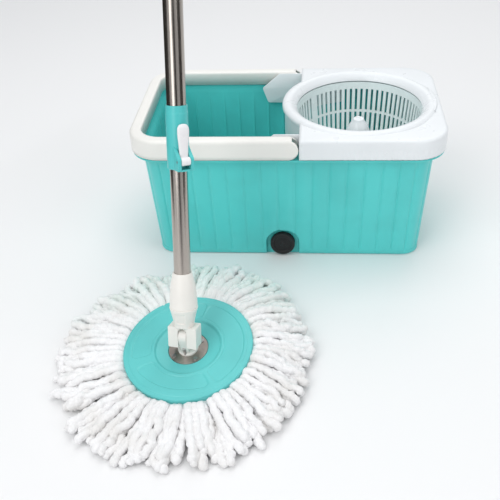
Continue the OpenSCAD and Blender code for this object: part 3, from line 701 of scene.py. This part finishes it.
# %% Handle sheet
BAND_W, POST_REACH = 17.2, 6.8


def handle_sheet():
    """Columns from front pivot round the left to the back; ends follow z = pin + (z - pin) sqrt(1 - u^2)."""
    outline = Outline(0, RIM_R)
    tip = BAND_H / 2
    ends = PIVOT_X + tip * np.sin(np.linspace(0, math.pi / 2, 16))
    middle = np.linspace(outline.length / 2 - PIVOT_X, outline.length + PIVOT_X, 150)
    start = outline.length / 2 - ends[::-1]
    columns = np.concatenate([start[:-1], middle, outline.length + ends[1:]])
    spots = outline.at(columns % outline.length)
    section = rounded([(0, BAND_LOW), (0, RIM_TOP), (BAND_W, RIM_TOP), (BAND_W, FLANGE_TOP + 9.5)],
                      [0, 5.5, 3.5, 0], 7)
    section = np.vstack([np.linspace(section[0], section[1], 5)[:-1], section[1:]])
    points = carried(np.column_stack([section, RIM_R - section[:, 0]]), spots)
    over = np.clip((points[..., 0] - PIVOT_X) / tip, 0, 1)
    points[..., 2] = PIVOT_Z + (points[..., 2] - PIVOT_Z) * np.sqrt(np.maximum(1 - over ** 2, 0))
    return split_ends(points, section[:, 0], np.flatnonzero(over[0] * tip < POST_REACH))


def split_ends(points, inset, kept):
    """The sheet's middle whole, and each end's outer and inner leg only, so the post passes between them."""
    first, last = kept[0], kept[-1] + 1
    outer = np.flatnonzero(inset < BAND_T + 0.4)[-1] + 1
    inner = np.flatnonzero(inset > BAND_W - BAND_T - 0.2)[0]
    ends = [points[rows, columns] for rows in (slice(0, outer), slice(inner, None))
            for columns in (slice(0, first + 1), slice(last - 1, None))]
    return [points[:, first:last], *ends]


handle = piece("carry_handle_band", [surface(part) for part in handle_sheet()], "handle",
               handle_finish, ["carry_handle"], crisp=60)
thick = handle.modifiers.new("wall", "SOLIDIFY")
thick.thickness, thick.offset = BAND_T * MM, -1.0

# %% [markdown]
# ## Hub and drain plug
# The basket's hub is a cone that flares out at its foot, so that the mop's plate slides down over it.
# The plug is a thick rubber disc with a raised rim. Both are round, so a turned profile is enough, with
# every corner bent a little, because moulds have no sharp corners.

# %% Hub and plug
HUB_TOP = float(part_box("basket_hub")[1][2]) / MM
HUB_LOW = float(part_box("basket_hub")[0][2]) / MM
hub_profile = rounded([(0, HUB_LOW), (35, HUB_LOW), (35, HUB_LOW + 3), (27, HUB_LOW + 12), (22, HUB_LOW + 30),
                       (18.5, HUB_TOP - 22), (13.5, HUB_TOP - 10), (9.2, HUB_TOP - 4), (7.6, HUB_TOP),
                       (3.6, HUB_TOP), (3.2, HUB_TOP - 1.2), (0, HUB_TOP - 1.2)],
                      [0, 0.8, 2, 8, 10, 8, 6, 3, 1.2, 0.4, 0.3, 0], 5)
piece("basket_hub_cone", [surface(turned(hub_profile, 72, (BASKET_X, 0)), False, True)], "basket",
      hub_finish, ["basket_hub"], crisp=50)

PLUG_R, PLUG_T = 18.5, 8.5
plug_box = np.array([list(c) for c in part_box("drain_plug")]) / MM
plug_profile = rounded([(0, 14), (10.9, 14), (10.9, 0), (PLUG_R, 0), (PLUG_R, -PLUG_T), (13.5, -PLUG_T),
                        (12.5, -PLUG_T + 1.8), (4.5, -PLUG_T + 1.8), (3.5, -PLUG_T + 0.4),
                        (0, -PLUG_T + 0.4)],
                       [0, 1, 0.5, 1.5, 2.5, 1.5, 0.8, 0.6, 0.8, 0], 5)
upright = turned(plug_profile, 64)
plug_back = plug_box[1, 1] - 14
plug_points = np.stack([upright[..., 0] + POCKET_X, upright[..., 2] + plug_back,
                        upright[..., 1] + POCKET_Z], -1)
piece("drain_plug_rubber", [surface(plug_points, False, True)], "plug", rubber_finish,
      ["drain_plug"], crisp=50)

# %% [markdown]
# ## The mop plate
# The plate is a moulded disc with a conical middle, a step round it, and three shallow panels pressed
# into its top. The panels could be separate pieces, but they are part of one skin. So the top is a
# height over a polar grid: the turned profile, less a recess wherever the distance to a panel's edge is
# negative, less a fine groove where that distance is near zero.

# %% Plate
PLATE_R, PLATE_TOP, DISH_Z = 82.5, -20.0, -25.0


def panel_distance(radius, angle, middle, half_span, inner, outer, corner):
    """Signed distance to a round-cornered ring sector, negative inside: a box in arc length and radius."""
    off = np.abs((angle - middle + np.pi) % (2 * np.pi) - np.pi) * radius
    u = off - (half_span * radius - corner)
    v = np.abs(radius - (inner + outer) / 2) - ((outer - inner) / 2 - corner)
    return np.hypot(np.maximum(u, 0), np.maximum(v, 0)) + np.minimum(np.maximum(u, v), 0) - corner


def plate_relief(radius, angle):
    """Depth pressed into the plate's top: two long side panels, one front panel, and a lowered rim."""
    depth = 0.55 * smooth_step(radius, 75.5, 76.8)
    deg = np.radians
    bow = 65.5 + 5.0 * np.clip(np.abs((angle + deg(95) + np.pi) % (2 * np.pi) - np.pi) / deg(50), 0, 1) ** 2
    for middle, half_span, outer in ((20, 63, 71.0), (146, 60, 71.0), (-95, 45, bow)):
        distance = panel_distance(radius, angle, deg(middle), deg(half_span), 47.0, outer, 6.0)
        depth = depth + 0.75 * (1 - smooth_step(distance, -0.9, 0.2)) + 0.7 * np.exp(-(distance / 0.6) ** 2)
    return depth


def plate_surface():
    """The plate's closed profile turned about the head's axis, with the relief taken off its top face."""
    slope = rounded([(25.4, DISH_Z - 1.2), (25.7, DISH_Z + 0.6), (41, PLATE_TOP - 2.6), (43.2, PLATE_TOP)],
                    [0, 0.5, 1.4, 0], 5)
    step = rounded([slope[-1], (44.5, PLATE_TOP), (46, PLATE_TOP)], 0.8, 3)[1:]
    top = np.column_stack([np.linspace(46.4, 80, 76), np.full(76, PLATE_TOP)])
    rim = rounded([(80.2, PLATE_TOP), (PLATE_R, PLATE_TOP), (PLATE_R, PLATE_TOP - 9),
                   (PLATE_R - 2.5, PLATE_TOP - 9), (PLATE_R - 2.5, PLATE_TOP - 3), (46, PLATE_TOP - 3),
                   (43, PLATE_TOP - 5), (27, DISH_Z - 3.7), (15.5, DISH_Z - 3.7), (15.5, DISH_Z - 1.2),
                   (25.2, DISH_Z - 1.2)],
                  [0, 2.2, 0.8, 0.8, 1, 1, 1, 1, 0.5, 0.5, 0], 5)
    profile = np.vstack([slope, step, top, rim])
    points = turned(profile, 480)
    radius, angle = np.hypot(points[..., 0], points[..., 1]), np.arctan2(points[..., 1], points[..., 0])
    upper = np.zeros(len(profile))
    upper[len(slope):len(slope) + len(step) + len(top) + 3] = 1
    points[..., 2] -= upper[:, None] * plate_relief(radius, angle) * smooth_step(radius, 45, 47)
    return placed(points, HEAD)


piece("mop_plate_disc", [surface(plate_surface(), False, True)], "mop_head",
      plate_finish, ["mop_plate"], crisp=60)

# %% [markdown]
# ## Fork, ferrule and swivel
# The white ferrule holds the lower tube. It widens to a seam, then narrows to a neck with flat recesses,
# and ends in a fork of two square blocks that straddle a lug on the plate. The ferrule is turned, the
# blocks are outlines carried straight across. A Bevel modifier then breaks their edges.

# %% Prisms
def prism(inner, outer, low, high, order):
    """A closed ring between two outlines with the same number of points, carried from low to high."""
    def at(outline, depth):
        full = np.column_stack([outline, np.full(len(outline), depth)])
        return full[:, order]
    return np.stack([at(inner, low), at(outer, low), at(outer, high), at(inner, high)])


def solid_prism(outline, low, high, order):
    """The same with the inner outline shrunk to the outline's middle, which closes both ends."""
    middle = np.broadcast_to(outline.mean(0), outline.shape)
    return prism(middle, outline, low, high, order)[[0, 1, 2, 3]]


def soften(made, width, segments=3, angle=38):
    """A Bevel modifier that rounds the edges sharper than the angle."""
    edge = made.modifiers.new("soft_edges", "BEVEL")
    edge.width, edge.segments, edge.angle_limit = width * MM, segments, math.radians(angle)
    edge.harden_normals = False
    return made


X_FIRST, Y_MIDDLE = [2, 0, 1], [0, 2, 1]


# %% Ferrule and fork
def ferrule_surface():
    """The ferrule's turned profile, its neck pressed in by 1.1 mm at four flat recesses."""
    profile = rounded([(0, 14.2), (12.3, 14.2), (12.4, 18), (17.1, 37.5), (17.5, 39), (17.5, 39.7),
                       (16.6, 39.9), (16.6, 40.5), (17.1, 40.8), (16.4, 57), (15.2, 68), (13.5, 76),
                       (12.2, 83), (11.5, 85), (10.3, 85), (10.3, 84)],
                      [0, 0.8, 1.5, 0.8, 0.4, 0.2, 0.1, 0.1, 0.3, 6, 4, 3, 1, 0.5, 0.3, 0], 6)
    levels = np.linspace(19, 37, 24)
    extra = np.column_stack([np.interp(levels, [18, 37.5], [12.4, 17.1]), levels])
    cut = np.searchsorted(profile[:, 1], 18.9)
    profile = np.vstack([profile[:cut], extra, profile[np.searchsorted(profile[:, 1], 37.1):]])
    points = turned(profile, 160)
    angle = np.arctan2(points[..., 1], points[..., 0])
    off = np.abs((angle + np.pi / 4) % (np.pi / 2) - np.pi / 4)
    face = (1 - smooth_step(off, 0.40, 0.46)) * smooth_step(points[..., 2], 20.5, 21.5)
    face = face * (1 - smooth_step(points[..., 2], 34.2, 35.0))
    shrink = 1 - face * 1.1 / np.maximum(np.hypot(points[..., 0], points[..., 1]), 1)
    points[..., :2] *= shrink[..., None]
    return points


turn_top = np.linspace(0, np.pi, 13)
block = rounded([(5.6, 14), (5.6, -12.5), (18.3, -12.5), (18.3, 15), (5.6, 15), (5.6, 14)],
                [0, 1.2, 1.2, 1.2, 0, 0], 4)[:-1]
blocks = [solid_prism(block * [s, 1], -9.5, 9.5, Y_MIDDLE) for s in (1, -1)]
arch_low = np.stack([-5.7 * np.cos(turn_top), 8.6 + 5.4 * np.sin(turn_top)], -1)
arch_high = np.stack([-11 * np.cos(turn_top), 12 + 3 * np.sin(turn_top) ** 0.4], -1)
bridge = np.vstack([arch_low, arch_high[::-1]])
bridge_grid = prism(bridge * 0 + [0, 14.5], bridge, -9.3, 9.3, Y_MIDDLE)
ferrule = piece("ferrule_fork", [surface(placed(ferrule_surface(), POLE), False, True),
                                 *[surface(placed(b, POLE), False, True) for b in (*blocks, bridge_grid)]],
                "lower_pole", fork_finish, ["ferrule"], crisp=40)
soften(ferrule, 0.7)

lug_side = np.radians(np.linspace(0, 180, 21))
lug = np.vstack([[[10.5, DISH_Z + 2]], np.stack([10.5 * np.cos(lug_side), 10.5 * np.sin(lug_side)], -1),
                 [[-10.5, DISH_Z + 2]]])
lug_foot = turned(rounded([(0, DISH_Z), (13, DISH_Z), (13, DISH_Z + 3), (8, DISH_Z + 4.5), (0, DISH_Z + 4.5)],
                          [0, 0.3, 1.2, 2, 0], 4), 64)
swivel = piece("swivel_lug_block", [surface(placed(solid_prism(lug, -5.2, 5.2, X_FIRST), HEAD), False, True),
                                    surface(placed(lug_foot, HEAD), False, True)],
               "mop_head", fork_finish, ["swivel_lug"], crisp=40)
soften(swivel, 0.6)


# %% [markdown]
# ## The strands
# Some 200 thick fluffy yarns are held under the plate's skirt. They come out in three layers, bulge up
# round the skirt, droop to the floor and end in soft round tips. Cloth simulation could drop them, but
# each yarn is a stiff rope a centimetre thick, and its path is simple: out from the skirt, over the yarns
# under it, and down to the floor, with kinks that grow outwards. So each path is worked out directly,
# for all yarns at once, and a knobbly tube is swept along it.

# %% Strand paths
STRAND_R, STRAND_RINGS, STRAND_SIDES = 5.5, 34, 9
SKIRT_LOW = PLATE_TOP - 9
LAYERS = ((68, 1.0, -5.0, 0.0), (66, 0.985, 1.0, 4.0), (62, 0.955, 7.0, 8.0))
REACH_AT = np.radians(np.arange(0, 361, 20))
REACH = np.array([164, 168, 177, 196, 200, 186, 190, 189, 180, 182,
                  178, 186, 186, 184, 177, 180, 171, 161, 164])
rng = np.random.default_rng(11)


def skirt_height(x, y):
    """Height above the floor of the skirt's lower edge's plane, at a place given from the pivot."""
    return pivot[2] + (SKIRT_LOW - plate_normal[0] * x - plate_normal[1] * y) / plate_normal[2]


def strand_paths():
    """(yarns, rings, 3) centre lines and (yarns,) radii: reach by azimuth, crest by layer, growing kinks."""
    azimuth, layer = [], []
    for index, (count, *_) in enumerate(LAYERS):
        place = np.arange(count) + rng.uniform(-0.32, 0.32, count) + 0.31 * index
        azimuth.append(place * 2 * np.pi / count)
        layer.append(np.full(count, index))
    azimuth, layer = np.concatenate(azimuth) % (2 * np.pi), np.concatenate(layer)
    count = len(azimuth)
    _, share, lift, rest = (np.array(column)[layer] for column in zip(*LAYERS))
    reach = np.interp(azimuth, REACH_AT, REACH) * share * rng.uniform(0.93, 1.02, count)
    reach = reach + np.where(rng.random(count) < 0.08, rng.uniform(4, 12, count), 0)
    radius = STRAND_R * rng.uniform(0.86, 1.10, count)
    t = np.linspace(0, 1, STRAND_RINGS)[None, :] ** 0.92
    start = 66.0
    along_plan = start + (reach[:, None] - radius[:, None] - start) * t
    drift = rng.normal(0, 0.035, count)[:, None] * t ** 1.5
    fan = azimuth[:, None] + drift
    middle = PLATE_TOP * plate_normal[:2]
    x, y = middle[0] + along_plan * np.cos(fan), middle[1] + along_plan * np.sin(fan)
    size = np.arange(1, 4)[:, None, None]
    waves = (rng.uniform(-1, 1, (3, count, 1)) / size ** 0.7
             * np.sin(2 * np.pi * (size * (1.35 * t[None] + rng.uniform(0, 1, (3, count, 1))))))
    side = waves.sum(0) * 4.2 * smooth_step(t, 0.12, 0.95)
    x, y = x - side * np.sin(fan), y + side * np.cos(fan)
    under = skirt_height(x, y) - radius[:, None] - 0.6
    crest_at = 92.0
    crest_x, crest_y = crest_at * np.cos(azimuth), crest_at * np.sin(azimuth)
    crest = skirt_height(crest_x, crest_y) + lift + rng.uniform(-2.5, 2.5, count)
    lifted = 9 * smooth_step(np.sin(azimuth), 0.1, 0.9) * (layer / 2)
    tip = radius + rest * rng.uniform(0.2, 1.0, count) + lifted
    crest = np.maximum(crest, tip + 1.5 * layer)
    fall = np.clip((along_plan - crest_at) / (reach[:, None] - crest_at), 0, 1)
    out = crest[:, None] + (tip - crest)[:, None] * (0.35 * fall + 0.65 * fall ** 2)
    rise = smooth_step(along_plan, 74, crest_at)
    z = np.minimum(under, out) * (1 - rise) + out * rise
    hop_size = rng.uniform(-1, 1, (2, count, 1))
    hop_turns = np.array([1.6, 3.1])[:, None, None] * t[None] + rng.uniform(0, 1, (2, count, 1))
    hop = hop_size * np.sin(2 * np.pi * hop_turns)
    z = z + hop.sum(0) * 1.9 * smooth_step(t, 0.25, 0.9)
    z = np.maximum(z, radius[:, None] * 0.92)
    return np.stack([pivot[0] + x, pivot[1] + y, z], -1), radius


def strand_tubes(paths, radius):
    """A closed knobbly tube round each path: a side and an up direction at each ring, and a bumpy radius."""
    ahead = np.gradient(paths, axis=1)
    ahead /= np.linalg.norm(ahead, axis=-1, keepdims=True)
    sideways = np.cross(ahead, [0, 0, 1.0])
    sideways /= np.linalg.norm(sideways, axis=-1, keepdims=True)
    upwards = np.cross(sideways, ahead)
    count, rings = paths.shape[:2]
    angle = np.linspace(0, 2 * np.pi, STRAND_SIDES, endpoint=False)
    t = np.linspace(0, 1, rings)
    cap = np.sqrt(np.clip(1 - np.clip((t - 0.955) / 0.045, 0, 1) ** 2, 0, 1)) * np.clip(t / 0.02, 0, 1)
    turns = t[None, :, None] * rng.uniform(7, 10, (count, 1, 1)) + rng.uniform(0, 1, (count, 1, 1))
    knobs = np.sin(2 * np.pi * turns + angle * rng.integers(-1, 2, (count, 1, 1)))
    rough = rng.normal(0, 0.085, (count, rings, STRAND_SIDES))
    wide = radius[:, None, None] * (1 + 0.10 * knobs + rough) * cap[None, :, None]
    ring = (sideways[:, :, None] * (wide * np.cos(angle))[..., None]
            + upwards[:, :, None] * (wide * np.sin(angle))[..., None])
    points = paths[:, :, None] + ring
    points[..., 2] = np.maximum(points[..., 2], 0.25)
    return points


def strands_look(wire, place):
    """Fluffy cotton-like yarn: a loose tone per patch, painted shade in the hollows between tufts, a painted green
    bounce light from the tub on the back yarns, and a bump of tufts and fine fibres.
    """
    patches = wire.noise(place, 26, 3).between(0.35, 0.75)
    base = patches.mixed((0.90, 0.895, 0.90), (0.80, 0.785, 0.765))
    tufts = wire.make("ShaderNodeTexVoronoi", {"feature": "F1"}, {"Vector": place, "Scale": 330.0})
    fibres = wire.noise(place, 1100, 3)
    # Painted shade: the hollows between tufts are greyed in the colour, where shade would fall.
    painted_hollow_shade = tufts.between(0.45, 0.95) * 0.22
    colour = painted_hollow_shade.mixed(base, (0.72, 0.70, 0.68))
    # Painted bounce light: a pale green tint from the teal tub on the yarns towards the back, broken up by a
    # noise.
    far = wire.make("ShaderNodeSeparateXYZ", None, {"Vector": place}, "Y").between(-0.345, -0.20)
    painted_tub_bounce = far * wire.noise(place, 18, 2).between(0.3, 0.6) * 0.5
    colour = painted_tub_bounce.mixed(colour, (0.66, 0.82, 0.75))
    height = (tufts * -0.8) + fibres * 0.5
    bump = wire.make("ShaderNodeBump", None, {"Strength": 0.55, "Distance": 0.0012, "Height": height})
    return {"Base Color": colour, "Normal": bump}


strand_finish = material("fluffy_yarn", strands_look, Roughness=0.95, Sheen_Weight=0.35, Sheen_Roughness=0.5)
paths, radii = strand_paths()
tubes = strand_tubes(paths, radii)
flat_tubes = tubes[..., :2]
print("yarns", len(tubes), "reach to", flat_tubes.min((0, 1, 2)).round(0), flat_tubes.max((0, 1, 2)).round(0))
piece("mop_strand_yarns", [surface(tube, False, True) for tube in tubes], "mop_head",
      strand_finish, ["mop_strands"], crisp=180)

# %% [markdown]
# ## Lock sleeve and lever
# The sleeve slips over the lower end of the upper tube, and its housing holds the cam lever. The lever is
# a sculpted paddle: wide and thick near its tip, narrow at the barrel, with a soft edge all round. Its
# shape is a stack of rounded sections whose width, thickness and offset change along its length.

# %% Sleeve and lever
LEVER_PIN = (np.array(joints["lever_swing"]["pos_m"]) / MM - pivot) @ LEVER.T
SLEEVE_LOW = LEVER_PIN[2] - 11
SLEEVE_R, SLEEVE_LEN, CHEEK_IN, CHEEK_OUT = 12.8, 72.0, 5.8, 9.8
sleeve_shell = turned(rounded([(11.1, SLEEVE_LOW), (SLEEVE_R, SLEEVE_LOW),
                               (SLEEVE_R, SLEEVE_LOW + SLEEVE_LEN - 9),
                               (12.4, SLEEVE_LOW + SLEEVE_LEN - 7.5), (12.4, SLEEVE_LOW + SLEEVE_LEN),
                               (11.1, SLEEVE_LOW + SLEEVE_LEN), (11.1, SLEEVE_LOW)],
                              [0, 0.8, 0.6, 0.6, 0.7, 0.4, 0], 4)[:-1], 96)
front = LEVER_PIN[0] + 3.5
cheek = rounded([(9, SLEEVE_LOW), (front, SLEEVE_LOW), (front, SLEEVE_LOW + 15), (front - 4, SLEEVE_LOW + 18),
                 (SLEEVE_R + 1, SLEEVE_LOW + 22), (9, SLEEVE_LOW + 27), (9, SLEEVE_LOW)],
                [0, 3, 3, 3, 3, 0, 0], 5)[:-1]
cheeks = [solid_prism(cheek, s * CHEEK_IN, s * CHEEK_OUT, [0, 2, 1]) for s in (1, -1)]
ledge = rounded([(9, SLEEVE_LOW), (front, SLEEVE_LOW), (front, SLEEVE_LOW + 2), (9, SLEEVE_LOW + 2),
                 (9, SLEEVE_LOW)], [0, 1, 0.6, 0, 0], 3)[:-1]
sleeve_parts = [surface(placed(sleeve_shell, LEVER), True, True)]
cheeks.append(solid_prism(ledge, -6, 6, [0, 2, 1]))
sleeve_parts += [surface(placed(part, LEVER), False, True) for part in cheeks]
sleeve = piece("lock_sleeve_body", sleeve_parts, "upper_pole", sleeve_finish,
               ["lock_sleeve"])
soften(sleeve, 0.5)


def lever_surface():
    """Round-box sections from barrel to tip: half width, half thickness and offset along the length."""
    at = np.array([0, 3, 8, 14, 20, 27, 33, 37.5, 40.3, 41.7, 42])
    half_w = np.array([5.3, 5.3, 5.2, 5.4, 5.9, 6.6, 7.0, 6.7, 5.2, 2.8, 0])
    half_t = np.array([1.9, 1.9, 1.9, 1.9, 2.1, 2.3, 2.45, 2.3, 1.8, 1.0, 0])
    offset = np.array([0, 0, 0, 0, 0.1, 0.25, 0.35, 0.3, 0.1, 0, 0])
    z = np.linspace(0, 42, 60)
    w, thick_half, off = (np.interp(z, at, v)[:, None] for v in (half_w, half_t, offset))
    angle = np.linspace(0, 2 * np.pi, 40, endpoint=False)
    box = (np.abs(np.cos(angle)) ** 4 + np.abs(np.sin(angle)) ** 4) ** -0.25
    x = LEVER_PIN[0] - 3.05 + off + thick_half * np.sin(angle) * box
    grid = np.stack([x, w * np.cos(angle) * box, np.broadcast_to(LEVER_PIN[2] + z[:, None], x.shape)], -1)
    start = grid[:1] * [1, 0, 1] + [[[0, 0, 0]]]
    return np.concatenate([start, grid], 0)


barrel = rounded([(0, -5.4), (4.9, -5.4), (4.9, 5.4), (0, 5.4)], [0, 0.7, 0.7, 0], 4)
barrel = turned(barrel, 48)[..., [0, 2, 1]]
barrel = barrel + [LEVER_PIN[0], 0, LEVER_PIN[2]]
piece("lock_lever_paddle", [surface(placed(lever_surface(), LEVER), False, True),
                            surface(placed(barrel, LEVER), False, True)],
      "lever", lever_finish, ["lock_lever"], crisp=45)

# %% [markdown]
# ## Everything else
# The parts that are left keep their CAD meshes: the steel tubes, pins and screws, the basket with its
# slots, and the parts hidden inside. Their shapes are already right. Each takes the material of its slot.

# %% Materials for the CAD parts
FINISHES = {"tub_plastic": tub_finish, "cover_plastic": cover_finish, "handle_plastic": handle_finish,
            "basket_plastic": basket_finish, "hub_plastic": hub_finish, "bush_plastic": bush_finish,
            "plug_rubber": rubber_finish, "plate_plastic": plate_finish, "stamped_steel": stamped_finish,
            "bright_steel": bright_finish, "strand_fabric": strand_finish, "fork_plastic": fork_finish,
            "pole_steel": tube_finish, "black_plastic": black_finish, "nut_brass": brass_finish,
            "sleeve_plastic": sleeve_finish, "grip_plastic": grip_finish, "lever_plastic": lever_finish}
node_slot = {row["node"]: row["material_slot"] for row in frame["record"]["subparts"]}
for name, node in frame["nodes"].items():
    finish = FINISHES[node_slot[name]]
    node.data.materials.clear()
    node.data.materials.append(finish)
print("finished", len(frame["nodes"]), "CAD parts")

# %% [markdown]
# ## Dark cards
# Polished steel is only as good as what it mirrors. Black cards stand to the left, the right and in
# front of the pole, and only reflections see them. They give it dark edges beside a bright middle.

# %% Cards
dark_card("card_left", -0.75, -0.15, 1.3, 1.4, math.radians(60))
dark_card("card_right", 0.75, -0.55, 0.7, 1.4, math.radians(100))
dark_card("card_front", 0.35, -2.4, 0.8, 1.2, math.radians(10))

# %% [markdown]

# %% Import json
import json
